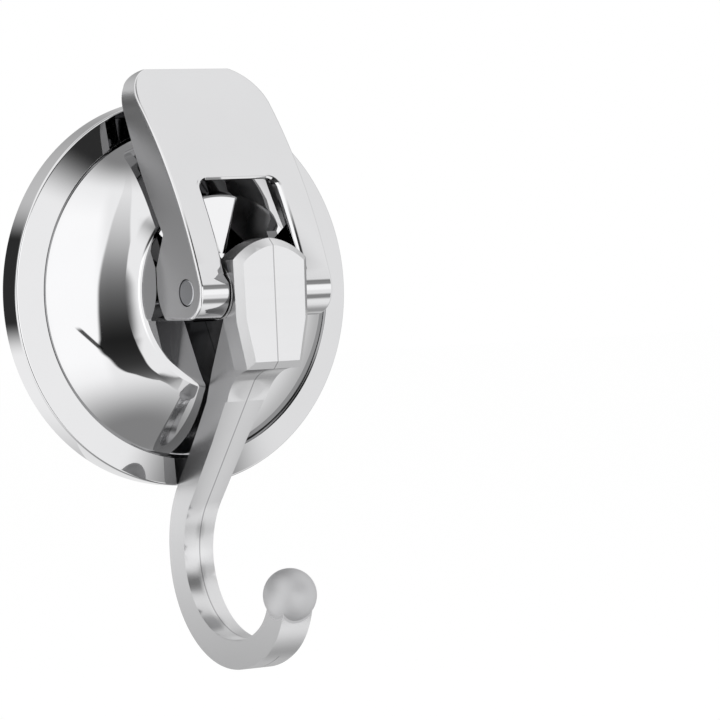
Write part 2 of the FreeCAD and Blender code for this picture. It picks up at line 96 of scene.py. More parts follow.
def length(name, description, default):
    """A length in millimetres for the panel."""
    return bpy.props.FloatProperty(name=name, description=description, default=default, min=0.0)


def amount(name, description, default):
    """A plain number for the panel."""
    return bpy.props.FloatProperty(name=name, description=description, default=default, min=0.0)


def share(name, description, default):
    """A share between nothing and all for the panel."""
    return bpy.props.FloatProperty(
        name=name, description=description, default=default, min=0.0, max=1.0, subtype="FACTOR")


def angle(name, description, degrees):
    """An angle for the panel."""
    return bpy.props.FloatProperty(
        name=name, description=description, default=math.radians(degrees), subtype="ANGLE")


def colour(name, description, default):
    """A colour for the panel."""
    return bpy.props.FloatVectorProperty(
        name=name, description=description, default=default, size=4, subtype="COLOR", min=0.0, max=1.0)


class HousingSettings(bpy.types.PropertyGroup):
    ring_radius: length("Ring radius", "Outer radius of the ring", HOUSING_HIGH.x)
    back_out: length("Back", "How far the ring's back stands off the wall", -HOUSING_HIGH.y)
    seat_out: length("Seat", "How far the flat seat stands off the wall", -HOUSING_LOW.y)
    ring_thick: length("Ring thickness", "Height of the ring's straight side", 4.5)
    ring_face: length("Ring face", "Width of the sloping face between ring and dome", 4.85)
    ring_round: length("Ring edge", "Rounding of the ring's front edge", 0.5)
    back_round: length("Back edge", "Rounding of the ring's back edge", 0.3)
    face_rise: length("Face rise", "How far the sloping face rises", 1.3)
    crease: length("Crease", "Depth and width of the crease at the dome's foot", 0.3)
    crease_round: length("Crease rounding", "Rounding of the sloping face beside the crease", 0.08)
    bulge_radius: length("Dome bulge", "Radius of the dome's section", 40.0)
    seat_radius: length("Seat radius", "Radius of the flat seat for the cams", 16.0)
    seat_round: length("Seat rounding", "Radius of the edge round the seat", 2.0)
    wall: length("Wall", "Thickness of the moulded shell", 2.0)
    guide_radius: length("Guide radius", "Outer radius of the stud's guide", 8.0)
    guide_length: length("Guide length", "Length of the stud's guide", 5.5)
    opening_radius: length("Opening radius", "Radius of the stud's opening", 4.65)
    opening_half: length("Opening flats", "How far each flat of the opening is from its middle", 3.35)
    rib_count: bpy.props.IntProperty(name="Ribs", description="Ribs inside the shell", default=8, min=2)
    rib_thick: length("Rib thickness", "Thickness of a rib", 1.6)
    rib_foot: length("Rib foot", "How far a rib's foot stands in front of the ring's back", 1.2)
    plating: colour("Plating", "Colour of the housing's chrome", slot_colour("housing_chrome"))


class PadSettings(bpy.types.PropertyGroup):
    radius: length("Pad radius", "Outer radius of the pad", PAD_HIGH.x)
    lip: length("Lip", "Thickness of the pad's lip", 1.0)
    lip_round: length("Lip rounding", "Rounding of the lip's two edges", 0.35)
    vault_radius: length("Vault radius", "Radius of the hollow on the wall side", 20.0)
    vault_rise: length("Vault rise", "Depth of the hollow on the wall side", 4.5)
    shoulder_radius: length("Shoulder radius", "Where the pad's slope meets its lip", 24.9)
    shoulder_round: length("Shoulder rounding", "Rounding between the lip and the slope", 3.0)
    crown: length("Crown", "How high the slope meets the boss", 8.6)
    crown_round: length("Crown rounding", "Rounding between the slope and the boss", 1.2)
    boss_radius: length("Boss radius", "Radius of the boss round the stud", 9.0)
    boss_out: length("Boss height", "How far the boss stands off the wall", -PAD_LOW.y)
    boss_round: length("Boss rounding", "Rounding of the boss's edge", 0.5)
    draw: length("Draw", "How far the boss sinks when the lever opens", 2.5)
    vinyl: colour("Vinyl", "Colour of the soft pad", slot_colour("soft_vinyl"))


class LeverSettings(bpy.types.PropertyGroup):
    edge_bevel: length("Edge bevel", "Bevel of the lever's sharp edges", 0.3)
    window_bevel: length("Window bevel", "Bevel round the window's front edge", 1.0)
    window_half: length("Window half width", "Half the width of the window", 7.4)
    window_foot: length("Window foot", "Height above which the window's edge is bevelled", 3.0)
    side_haze: share("Side haze", "Extra roughness of the flanges' sides", 0.3)
    plating: colour("Plating", "Colour of the lever's chrome", slot_colour("lever_chrome"))


class HookSettings(bpy.types.PropertyGroup):
    edge_bevel: length("Edge bevel", "Bevel of the hook's sharp edges", 0.27)
    seam: length("Seam", "Half width of the casting's seam", 0.14)
    haze: share("Haze", "Roughness of the plating", 0.24)
    ball_haze: share("Ball haze", "Roughness of the ball", 0.6)
    plating: colour("Plating", "Colour of the hook's chrome", slot_colour("hook_chrome"))
    seam_tint: colour("Seam tint", "Colour in the depth of the seam", (0.2, 0.2, 0.21, 1.0))
    ball_tint: colour("Ball tint", "Colour of the satin ball", (0.74, 0.74, 0.75, 1.0))


class FittingSettings(bpy.types.PropertyGroup):
    pin_bevel: length("Pin bevel", "Rounding of the pin's ends", 0.12)
    stud_bevel: length("Stud bevel", "Rounding of the stud's edges", 0.2)
    pin_steel: colour("Pin steel", "Colour of the pivot pin", slot_colour("pin_steel"))
    stud_steel: colour("Stud steel", "Colour of the pull stud", slot_colour("stud_steel"))


class StudioSettings(bpy.types.PropertyGroup):
    focal_length: bpy.props.FloatProperty(
        name="Focal length", description="Camera lens", default=200.0, min=10.0, unit="CAMERA")
    camera_yaw: angle("Camera turn", "How far to the left of the hook the camera stands", 31.84)
    camera_rise: angle("Camera rise", "How far above level the camera stands", 0.4)
    camera_roll: angle("Camera roll", "Roll of the camera", -2.5)
    camera_distance: length("Camera distance", "From the ring's back to the camera", 675.7)
    disc_x: amount("Disc across", "Pixel column of the ring's centre in a 720 pixel frame", 170.5)
    disc_y: amount("Disc down", "Pixel row of the ring's centre in a 720 pixel frame", 292.5)
    floor_gap: length("Floor gap", "From the hook's lowest point to the floor", 35.0)
    light_level: amount("Light level", "Strength of the room's light on plain surfaces", 0.8)
    mirror_level: amount("Mirror level", "Strength of the room's light in the plating", 0.95)
    floor_colour: colour("Floor", "Colour of the floor", (0.86, 0.86, 0.86, 1.0))


def deselect_all():
    """Nothing selected, and nothing left in edit mode."""
    if bpy.context.object and bpy.context.object.mode != "OBJECT":
        bpy.ops.object.mode_set(mode="OBJECT")
    bpy.ops.object.select_all(action="DESELECT")


def choose(thing):
    """Make this the one selected and active object."""
    deselect_all()
    thing.select_set(True)
    bpy.context.view_layer.objects.active = thing


def add_modifier(thing, kind, **values):
    """Add one modifier with these values."""
    modifier = thing.modifiers.new(kind.title(), kind)
    for name, value in values.items():
        setattr(modifier, name, value)
    return modifier


def apply_modifiers(thing):
    """Apply every modifier of a piece, in order."""
    choose(thing)
    for modifier in list(thing.modifiers):
        bpy.ops.object.modifier_apply(modifier=modifier.name)


def smooth(thing, degrees=30):
    """Smooth shading with sharp edges kept, and flat faces kept flat up to their rounded edges."""
    choose(thing)
    bpy.ops.object.shade_smooth_by_angle(angle=math.radians(degrees))
    add_modifier(thing, "WEIGHTED_NORMAL", mode="FACE_AREA", weight=50, keep_sharp=True)
    apply_modifiers(thing)


def arc(start, end, radius, to_left, steps):
    """Points after start along an arc to end, which bows to the left of the way or else to its right."""
    start, end = Vector(start), Vector(end)
    chord = end - start
    half = chord.length / 2
    side = Vector((-chord.y, chord.x)).normalized() * (1 if to_left else -1)
    drop = math.sqrt(max(0.0, radius ** 2 - half ** 2))
    centre = (start + end) / 2 - side * drop
    first = start - centre
    sweep = first.angle_signed(end - centre)
    return [centre + Matrix.Rotation(-sweep * step / steps, 2) @ first for step in range(1, steps + 1)]


def rounded(before, corner, after, radius, steps=5):
    """Points that round a corner between two straight runs."""
    before, corner, after = Vector(before), Vector(corner), Vector(after)
    run_in, run_out = (before - corner).normalized(), (after - corner).normalized()
    half = run_in.angle(run_out) / 2
    reach = radius / math.tan(half)
    middle = corner + (run_in + run_out).normalized() * (radius / math.sin(half))
    first = corner + run_in * reach - middle
    sweep = first.angle_signed(corner + run_out * reach - middle)
    return [middle + Matrix.Rotation(-sweep * step / steps, 2) @ first for step in range(steps + 1)]


def in_section(point):
    """Where a point of a section, given by its distance from the axis and from the wall, is in the scene."""
    return Vector((point[0], -point[1], 0)) * MM


def draw_chain(name, points):
    """Draw a chain of edges by extruding one vertex from point to point of the section plane."""
    deselect_all()
    here = in_section(points[0])
    bpy.ops.mesh.primitive_plane_add(size=MM, location=here)
    chain = bpy.context.object
    chain.name = chain.data.name = name
    bpy.ops.object.transform_apply(location=True, rotation=True, scale=True)
    bpy.ops.object.mode_set(mode="EDIT")
    bpy.ops.mesh.select_mode(type="VERT")
    bpy.ops.mesh.select_all(action="SELECT")
    bpy.ops.mesh.merge(type="CENTER")
    for point in points[1:]:
        there = in_section(point)
        bpy.ops.mesh.extrude_region_move(TRANSFORM_OT_translate={"value": there - here})
        here = there
    return chain


def spin_chain(name, points, steps):
    """Turn a chain about the wall's normal into a closed shell with its faces outwards."""
    shell = draw_chain(name, points)
    bpy.ops.mesh.select_all(action="SELECT")
    bpy.ops.mesh.spin(steps=steps, angle=math.tau, center=(0, 0, 0), axis=(0, 1, 0), dupli=False)
    bpy.ops.mesh.select_all(action="SELECT")
    bpy.ops.mesh.remove_doubles(threshold=SPIN_MERGE)
    bpy.ops.mesh.normals_make_consistent(inside=False)
    bpy.ops.object.mode_set(mode="OBJECT")
    return shell


def prism(name, points, thickness):
    """A plate with this outline in the section plane, half its thickness to each side."""
    plate = draw_chain(name, points)
    bpy.ops.mesh.select_all(action="SELECT")
    bpy.ops.mesh.edge_face_add()
    bpy.ops.mesh.extrude_region_move(TRANSFORM_OT_translate={"value": (0, 0, thickness * MM)})
    bpy.ops.mesh.select_all(action="SELECT")
    bpy.ops.transform.translate(value=(0, 0, -thickness * MM / 2))
    bpy.ops.mesh.normals_make_consistent(inside=False)
    bpy.ops.object.mode_set(mode="OBJECT")
    return plate


def combine(base, tool, operation):
    """Join or cut with another mesh, which is then removed."""
    add_modifier(base, "BOOLEAN", operation=operation, object=tool, solver="EXACT")
    apply_modifiers(base)
    deselect_all()
    bpy.data.objects.remove(tool, do_unlink=True)


def copy_of_node(name, new_name):
    """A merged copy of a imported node, with flat areas cleaned of their inner edges."""
    source = frame["nodes"][name]
    piece = bpy.data.objects.new(new_name, source.data.copy())
    piece.data.name = new_name
    bpy.context.scene.collection.objects.link(piece)
    piece.data.materials.clear()
    choose(piece)
    bpy.ops.object.mode_set(mode="EDIT")
    bpy.ops.mesh.select_all(action="SELECT")
    bpy.ops.mesh.customdata_custom_splitnormals_clear()
    bpy.ops.mesh.remove_doubles(threshold=COPY_MERGE)
    bpy.ops.mesh.dissolve_limited(angle_limit=FLAT_TURN, delimit=set())
    bpy.ops.object.mode_set(mode="OBJECT")
    return piece


def every_edge(middle, first, second):
    """Bevel weight where every sharp edge is rounded."""
    return 1.0


def weigh_edges(piece, weight_of):
    """Give each sharp edge a bevel weight from its middle and its two normals."""
    mesh = piece.data
    layer = mesh.attributes.get("bevel_weight_edge")
    if layer is None:
        layer = mesh.attributes.new("bevel_weight_edge", "FLOAT", "EDGE")
    faces_at = {}
    for face in mesh.polygons:
        for key in face.edge_keys:
            faces_at.setdefault(key, []).append(face)
    weights = []
    for edge in mesh.edges:
        faces = faces_at.get(tuple(sorted(edge.vertices)), [])
        weight = 0.0
        if len(faces) == 2 and faces[0].normal.angle(faces[1].normal, 0.0) > SHARP_TURN:
            middle = (mesh.vertices[edge.vertices[0]].co + mesh.vertices[edge.vertices[1]].co) / (2 * MM)
            weight = weight_of(middle, faces[0].normal, faces[1].normal)
        weights.append(weight)
    layer.data.foreach_set("value", weights)


def round_edges(piece, width, segments, weight_of=every_edge, **values):
    """Round the sharp edges of a piece that get a weight."""
    weigh_edges(piece, weight_of)
    add_modifier(piece, "BEVEL", width=width * MM, segments=segments, limit_method="WEIGHT", **values)
    apply_modifiers(piece)


def finish_piece(piece, material, body, replaced):
    """Material, body and replaced nodes of a finished piece."""
    piece.data.materials.clear()
    piece.data.materials.append(material)
    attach(piece, body)
    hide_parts(*replaced)


def new_group(name, inputs, outputs):
    """A shader node group with named sockets, each input with a default."""
    group = bpy.data.node_groups.new(name, "ShaderNodeTree")
    for label, kind, default in inputs:
        socket = group.interface.new_socket(name=label, in_out="INPUT", socket_type="NodeSocket" + kind)
        socket.default_value = default
    for label, kind in outputs:
        group.interface.new_socket(name=label, in_out="OUTPUT", socket_type="NodeSocket" + kind)
    return group


def new_material(name):
    """A material with an empty node tree."""
    material = bpy.data.materials.new(name)
    material.use_nodes = True
    material.node_tree.nodes.clear()
    return material


def node(tree, kind, inputs=None, **values):
    """Add a node, set its values, and link or set its inputs."""
    made = tree.nodes.new("ShaderNode" + kind)
    for name, value in values.items():
        setattr(made, name, value)
    for key, source in (inputs or {}).items():
        if isinstance(source, bpy.types.NodeSocket):
            tree.links.new(source, made.inputs[key])
        else:
            made.inputs[key].default_value = source
    return made


def math_node(tree, operation, first, second=0.0):
    """One step of arithmetic."""
    return node(tree, "Math", {0: first, 1: second}, operation=operation).outputs[0]


def ramp(tree, value, start, end, low=0.0, high=1.0, kind="LINEAR"):
    """What runs from low to high while the value runs from start to end."""
    inputs = {"Value": value, "From Min": start, "From Max": end, "To Min": low, "To Max": high}
    return node(tree, "MapRange", inputs, interpolation_type=kind).outputs[0]


def noise(tree, place, scale, detail):
    """A cloudy value between nothing and one."""
    return node(tree, "TexNoise", {"Vector": place, "Scale": scale, "Detail": detail}).outputs["Fac"]


def mix(tree, factor, first, second, kind="FLOAT"):
    """The first value or colour, with a share of the second."""
    return node(tree, "Mix", {"Factor": factor, "A": first, "B": second}, data_type=kind).outputs["Result"]


def taken_down(tint, *shares):
    """A colour with each channel taken down to its share."""
    return (*(channel * part for channel, part in zip(tint, shares)), 1.0)


def plating_group():
    """Chrome over a moulding: faint ripple, wiping marks and a little haze."""
    group = bpy.data.node_groups.get("Plating")
    if group:
        return group
    group = new_group(
        "Plating",
        [("Colour", "Color", (0.87, 0.87, 0.88, 1)), ("Haze", "Float", 0.04), ("Wiping", "Float", 0.02),
         ("Ripple", "Float", 0.1)],
        [("Colour", "Color"), ("Roughness", "Float"), ("Height", "Float")])
    enter = group.nodes.new("NodeGroupInput").outputs
    leave = group.nodes.new("NodeGroupOutput").inputs
    place = node(group, "TexCoord").outputs["Object"]
    wiped = node(group, "Mapping", {"Vector": place, "Scale": (60.0, 60.0, 900.0)}).outputs[0]
    marks = math_node(group, "MULTIPLY", noise(group, wiped, scale=1.0, detail=4.0), enter["Wiping"])
    tone = ramp(group, noise(group, place, scale=90.0, detail=2.0), 0.3, 0.7, 0.985, 1.0)
    shade = node(group, "VectorMath", {0: enter["Colour"], "Scale": tone}, operation="SCALE").outputs[0]
    ripple = math_node(group, "MULTIPLY", noise(group, place, scale=240.0, detail=1.0), enter["Ripple"])
    group.links.new(shade, leave["Colour"])
    group.links.new(math_node(group, "ADD", enter["Haze"], marks), leave["Roughness"])
    group.links.new(ripple, leave["Height"])
    return group


# How far sideways a plated face looks where its side haze starts, and where the haze is full
SIDE_START = 0.88
SIDE_FULL = 0.97


def chrome(name, tint, haze, wiping, ripple, side_haze=0.0):
    """Chrome plating with its own haze, and more of it on faces that look to the sides."""
    material = new_material(name)
    tree = material.node_tree
    plating = node(
        tree, "Group", {"Colour": tint, "Haze": haze, "Wiping": wiping, "Ripple": ripple},
        node_tree=plating_group()).outputs
    bump = node(tree, "Bump", {"Height": plating["Height"], "Strength": 0.3, "Distance": 0.02 * MM})
    across = node(tree, "SeparateXYZ", {0: node(tree, "NewGeometry").outputs["Normal"]}).outputs["X"]
    side = ramp(tree, math_node(tree, "ABSOLUTE", across), SIDE_START, SIDE_FULL, 0.0, side_haze)
    shader = node(tree, "BsdfPrincipled", {
        "Base Color": plating["Colour"], "Roughness": math_node(tree, "ADD", plating["Roughness"], side),
        "Normal": bump.outputs[0], "Metallic": 1.0})
    node(tree, "OutputMaterial", {"Surface": shader.outputs[0]})
    return material


# The hook's ball, in millimetres: its middle, how far its satin reaches and how soft the satin's border is
BALL_CENTRE = (0.0, -33.73, -49.72)
BALL_REACH = 4.6
BALL_BORDER = 0.15
# How far from the ball's middle the seam ends, and how much of its own colour it has
SEAM_FREE = 11.0
SEAM_SHARE = 0.55


def casting_group():
    """Where the ball of the hook is, and the fine seam that the two halves of the die leave."""
    group = new_group(
        "Casting",
        [("Ball radius", "Float", BALL_REACH), ("Seam", "Float", 0.1), ("Seam free", "Float", SEAM_FREE)],
        [("Ball", "Float"), ("Seam", "Float")])
    enter = group.nodes.new("NodeGroupInput").outputs
    leave = group.nodes.new("NodeGroupOutput").inputs
    place = node(group, "TexCoord").outputs["Object"]
    to_millimetres = (1 / MM, 1 / MM, 1 / MM)
    place = node(group, "VectorMath", {0: place, 1: to_millimetres}, operation="MULTIPLY").outputs[0]
    reach = node(group, "VectorMath", {0: place, 1: BALL_CENTRE}, operation="DISTANCE").outputs["Value"]
    border = math_node(group, "ADD", enter["Ball radius"], BALL_BORDER)
    ball = ramp(group, reach, enter["Ball radius"], border, 1.0, 0.0)
    side = math_node(group, "ABSOLUTE", node(group, "SeparateXYZ", {0: place}).outputs["X"])
    core = math_node(group, "MULTIPLY", enter["Seam"], 0.5)
    seam = ramp(group, side, core, enter["Seam"], 1.0, 0.0, "SMOOTHSTEP")
    free = math_node(group, "GREATER_THAN", reach, enter["Seam free"])
    group.links.new(ball, leave["Ball"])
    group.links.new(math_node(group, "MULTIPLY", seam, free), leave["Seam"])
    return group


def satin_casting(material, s):
    """Give a chrome material the hook's satin ball and its fine seam."""
    tree = material.node_tree
    shader = next(made for made in tree.nodes if made.type == "BSDF_PRINCIPLED")
    casting = node(tree, "Group", {"Seam": s.seam}, node_tree=casting_group()).outputs
    plated = shader.inputs["Base Color"].links[0].from_socket
    rough = shader.inputs["Roughness"].links[0].from_socket
    satin = mix(tree, casting["Ball"], plated, s.ball_tint, "RGBA")
    depth = math_node(tree, "MULTIPLY", casting["Seam"], SEAM_SHARE)
    tree.links.new(mix(tree, depth, satin, s.seam_tint, "RGBA"), shader.inputs["Base Color"])
    tree.links.new(mix(tree, casting["Ball"], rough, s.ball_haze), shader.inputs["Roughness"])


def turned_steel(name, tint, rough):
    """Drawn steel with fine rings about the pin's line on its ends and along its sides."""
    material = new_material(name)
    tree = material.node_tree
    place = node(tree, "TexCoord").outputs["Object"]
    to_pin = (0, -(PIN_LOW.y + PIN_HIGH.y) / 2 * MM, 0)
    centred = node(tree, "Mapping", {"Vector": place, "Location": to_pin}).outputs[0]
    rings = node(
        tree, "TexWave", {"Vector": centred, "Scale": 700.0, "Distortion": 0.6, "Detail": 2.0},
        wave_type="RINGS", rings_direction="X").outputs["Fac"]
    cloud = noise(tree, place, scale=400.0, detail=3.0)
    bump = node(tree, "Bump", {"Height": rings, "Strength": 0.25, "Distance": 0.02 * MM})
    shader = node(tree, "BsdfPrincipled", {
        "Base Color": mix(tree, cloud, tint, taken_down(tint, 0.9, 0.9, 0.91), "RGBA"),
        "Roughness": ramp(tree, cloud, 0.0, 1.0, rough - 0.05, rough + 0.06),
        "Normal": bump.outputs[0], "Metallic": 1.0})
    node(tree, "OutputMaterial", {"Surface": shader.outputs[0]})
    return material


def soft_vinyl(name, tint):
    """Milky clear vinyl with a faint cloud in it and a smooth skin."""
    material = new_material(name)
    tree = material.node_tree
    cloud = noise(tree, node(tree, "TexCoord").outputs["Object"], scale=120.0, detail=3.0)
    bump = node(tree, "Bump", {"Height": cloud, "Strength": 0.15, "Distance": 0.05 * MM})
    shader = node(tree, "BsdfPrincipled", {
        "Base Color": mix(tree, cloud, tint, taken_down(tint, 0.94, 0.96, 1.0), "RGBA"),
        "Roughness": ramp(tree, cloud, 0.0, 1.0, 0.16, 0.3),
        "Normal": bump.outputs[0], "Transmission Weight": 0.55, "IOR": 1.5})
    node(tree, "OutputMaterial", {"Surface": shader.outputs[0]})
    return material


def housing_places(s):
    """Places in the housing's section that follow from its sizes: from the axis, or out from the wall."""
    foot = s.ring_radius - s.ring_face
    face_out = s.back_out + s.ring_thick + s.face_rise
    foot_out = face_out - s.crease
    rise, inset = s.seat_out - foot_out, foot - s.seat_radius
    slant = math.hypot(rise, inset)
    return SimpleNamespace(
        foot=foot, face_out=face_out, foot_out=foot_out,
        throat=foot - s.wall * rise / slant,
        throat_out=foot_out - s.wall * inset / slant,
        inner_seat=s.seat_out - s.wall,
        guide_out=s.seat_out - s.guide_length)


def shell_section(s, at):
    """The shell's section, from the axis in the guide round the ring's back to the axis on the seat."""
    back = (s.ring_radius, s.back_out)
    front = (s.ring_radius, s.back_out + s.ring_thick)
    inner_foot = (at.throat, s.back_out)
    face_top = (at.foot + s.crease, at.face_out)
    dome_foot = (at.foot, at.foot_out)
    seat_edge = (s.seat_radius, s.seat_out)
    inner_edge = (s.seat_radius - s.wall, at.inner_seat)
    # The rounding round the seat takes the place of the dome's last four points
    dome = arc(dome_foot, seat_edge, s.bulge_radius, False, 26)[:-4]
    section = [(0, at.guide_out), (s.guide_radius, at.guide_out), (s.guide_radius, at.inner_seat), inner_edge]
    section += arc(inner_edge, (at.throat, at.throat_out), s.bulge_radius, True, 10)
    section += [inner_foot]
    section += rounded(inner_foot, back, front, s.back_round)
    section += rounded(back, front, face_top, s.ring_round)
    section += rounded(front, face_top, dome_foot, s.crease_round, 3)
    section += [dome_foot]
    section += dome
    section += rounded(dome[-1], seat_edge, (0, s.seat_out), s.seat_round, 8)
    section += [(0, s.seat_out)]
    return section


def add_ribs(shell, s, at):
    """Join the ribs that stand between the guide and the inside of the shell."""
    foot_out = s.back_out + s.rib_foot
    root_out = at.inner_seat + s.wall / 2
    section = [
        (s.guide_radius - s.wall, at.guide_out), (s.guide_radius + s.wall, at.guide_out),
        (at.throat, foot_out), (at.throat + s.wall / 2, foot_out),
        (at.throat + s.wall / 3, at.throat_out), (s.seat_radius - s.wall, root_out),
        (s.guide_radius - s.wall, root_out)]
    for turn in range(s.rib_count):
        rib = prism("rib", section, s.rib_thick)
        rib.data.transform(Matrix.Rotation(math.tau * turn / s.rib_count, 4, "Y"))
        combine(shell, rib, "UNION")


def cut_opening(shell, s):
    """Cut the stud's opening, round with two flats, through the seat and the guide."""
    cutter_length = 30.0
    deselect_all()
    bpy.ops.mesh.primitive_cylinder_add(
        vertices=96, radius=s.opening_radius * MM, depth=cutter_length * MM, rotation=(math.pi / 2, 0, 0),
        location=(0, -s.seat_out * MM, 0))
    cutter = bpy.context.object
    bpy.ops.object.transform_apply(location=True, rotation=True, scale=True)
    bpy.ops.object.mode_set(mode="EDIT")
    for side in (1, -1):
        bpy.ops.mesh.select_all(action="SELECT")
        bpy.ops.mesh.bisect(
            plane_co=(side * s.opening_half * MM, 0, 0), plane_no=(side, 0, 0), use_fill=True,
            clear_outer=True)
    bpy.ops.object.mode_set(mode="OBJECT")
    combine(shell, cutter, "DIFFERENCE")


class SUCTIONHOOK_OT_housing(bpy.types.Operator):
    """Plated shell with its ring, dome, seat, ribs and stud guide"""

    bl_idname = "suctionhook.housing"
    bl_label = "Dome housing"

    def execute(self, context):
        s = context.scene.suction_housing
        at = housing_places(s)
        shell = spin_chain("dome_shell", shell_section(s, at), steps=256)
        add_ribs(shell, s, at)
        cut_opening(shell, s)
        smooth(shell, degrees=32)
        material = chrome("Housing chrome", s.plating, haze=0.015, wiping=0.02, ripple=0.12)
        finish_piece(shell, material, "housing", ["dome_housing"])
        return {"FINISHED"}


def pad_section(s):
    """The pad's section, from the axis in its vault round the lip to the axis on its boss."""
    vault_arc = (s.vault_radius ** 2 + s.vault_rise ** 2) / (2 * s.vault_rise)
    vault_top = (0, s.vault_rise)
    vault_edge = (s.vault_radius, 0)
    edge = (s.radius, 0)
    lip = (s.radius, s.lip)
    shoulder = (s.shoulder_radius, s.lip)
    crown = (s.boss_radius, s.crown)
    boss = (s.boss_radius, s.boss_out)
    boss_top = (0, s.boss_out)
    section = [vault_top]
    section += arc(vault_top, vault_edge, vault_arc, True, 20)
    section += rounded(vault_edge, edge, lip, s.lip_round, 4)
    section += rounded(edge, lip, shoulder, s.lip_round, 4)
    section += rounded(lip, shoulder, crown, s.shoulder_round, 6)
    section += rounded(shoulder, crown, boss, s.crown_round, 6)
    section += rounded(crown, boss, boss_top, s.boss_round, 4)
    section += [boss_top]
    return section


class SUCTIONHOOK_OT_pad(bpy.types.Operator):
    """Soft pad with its vault, lip and boss"""

    bl_idname = "suctionhook.pad"
    bl_label = "Suction pad"

    def execute(self, context):
        s = context.scene.suction_pad
        pad = spin_chain("soft_pad", pad_section(s), steps=160)
        smooth(pad, degrees=40)
        finish_piece(pad, soft_vinyl("Soft vinyl", s.vinyl), "housing", ["suction_pad"])
        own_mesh(pad)
        return {"FINISHED"}


class SUCTIONHOOK_OT_lever(bpy.types.Operator):
    """Cam lever with rounded edges and a bevelled window"""

    bl_idname = "suctionhook.lever"
    bl_label = "Lever"

    def execute(self, context):
        s = context.scene.suction_lever
        lever = copy_of_node("lever", "cam_lever")

        def window_front(middle, first, second):
            """Bevel weight for edges between the lever's front and a face of the window that looks up."""
            at_front = min(first.y, second.y) < -0.4
            looks_up = max(first.z, second.z) > 0.1
            in_window = abs(middle.x) < s.window_half + SLACK and middle.z > s.window_foot
            return 1.0 if at_front and looks_up and in_window else 0.0

        round_edges(lever, s.window_bevel, segments=3, weight_of=window_front, use_clamp_overlap=False)
        round_edges(lever, s.edge_bevel, segments=3, miter_outer="MITER_ARC")
        smooth(lever)
        material = chrome(
            "Lever chrome", s.plating, haze=0.05, wiping=0.03, ripple=0.1, side_haze=s.side_haze)
        finish_piece(lever, material, "lever", ["lever"])
        return {"FINISHED"}


class SUCTIONHOOK_OT_hook(bpy.types.Operator):
    """J hook with its shield-shaped head and ball"""

    bl_idname = "suctionhook.hook"
    bl_label = "Hook"

    def execute(self, context):
        s = context.scene.suction_hook
        hook = copy_of_node("hook", "j_hook")
        round_edges(hook, s.edge_bevel, segments=3, miter_outer="MITER_ARC")
        smooth(hook)
        material = chrome("Hook chrome", s.plating, haze=s.haze, wiping=0.04, ripple=0.1)
        satin_casting(material, s)
        finish_piece(hook, material, "hook", ["hook"])
        return {"FINISHED"}


class SUCTIONHOOK_OT_fittings(bpy.types.Operator):
    """Pivot pin and pull stud"""

    bl_idname = "suctionhook.fittings"
    bl_label = "Pin and stud"

    def execute(self, context):
        s = context.scene.suction_fittings
        pin_steel = turned_steel("Pin steel", s.pin_steel, rough=0.32)
        stud_steel = turned_steel("Stud steel", s.stud_steel, rough=0.38)
        pieces = (
            ("pivot_pin", "pivot_rod", "pin_steel", s.pin_bevel, pin_steel),
            ("pull_stud", "stud_body", "stud_steel", s.stud_bevel, stud_steel),
        )
        for source, name, slot, bevel, material in pieces:
            piece = copy_of_node(source, name)
            round_edges(piece, bevel, segments=2)
            smooth(piece)
            finish_piece(piece, material, "stud", [source])
        return {"FINISHED"}


# Flags of the studio, as the plating sees them, in degrees: where each stands round the hook and how high,
# its half width and half height, how soft its sides and its ends are, how far it leans and how dark it is.
# One with less than no darkness is a bright card
FLAG_SOCKETS = (
    "Flag turn", "Flag rise", "Half width", "Half height", "Side softness", "End softness", "Lean",
    "Darkness")
FLAGS = {
    "left, low and narrow": (-59, -24.5, 1.3, 6.5, 0.3, 0.25, -0.77, 0.92),
    "front, high": (6, 33, 28, 12, 0.3, 0.35, 0, 0.97),
    "front right, raised": (38, 17, 10, 8, 0.5, 0.4, 0, 0.7),
    "right, near the floor": (112, -48, 26, 9, 0.6, 0.5, 0, 0.5),
    "back left": (-152, 5, 22, 17, 0.25, 0.3, 0, 0.97),
    "left, raised": (-116, 22, 20, 18, 0.5, 0.5, 0, 0.85),
    "back, high": (180, 34, 40, 14, 0.4, 0.5, 0, 0.4),
    "front right, low": (38, -32, 12, 8, 0.6, 0.5, 0, 0.7),
    "back right, large": (140, -5, 35, 45, 0.6, 0.6, 0, 0.45),
    "front, bright": (-15, 2, 8, 22, 0.5, 0.6, 0, -0.4),
    "right, wide and faint": (80, 10, 50, 60, 0.4, 0.3, 0, 0.12),
    "front right, bright": (34, -1, 10, 9, 0.4, 0.4, 0, -0.18),
    "left, tall and bright": (-66, 4, 15, 52, 0.3, 0.3, 0, -0.17),
}
# The long curved flag on the left, from foot to head: how high, where its middle is, its half width and its
# darkness, and how soft its sides are
BLADE = (
    (-60, 8, 2, 0.0), (-56, 0, 6, 0.4), (-54, -11, 9, 0.7), (-50, -23, 10, 0.88),
    (-44, -35, 10.5, 0.95), (-38, -39, 11, 0.97), (-31, -43, 12, 0.98), (-25, -43.5, 10.5, 0.98),
    (-6, -44.5, 8.5, 0.9), (9, -44, 8, 0.78), (32, -41.5, 6.5, 0.45), (50, -38, 5.5, 0.22),
    (70, -30, 4, 0.05), (80, -26, 3, 0.0),
)
BLADE_SOFTNESS = 0.12
# Heights between which the light falls off towards the floor and towards the ceiling, and what is left of it
FALLS = ((-46.0, -80.0, 0.26), (62.0, 84.0, 0.26))
# Between these numbers of bounces the studio goes dim, down to this share
DIM_START = 2.0
DIM_END = 3.5
DIM_SHARE = 0.1
WHITE = (1, 1, 1, 1)


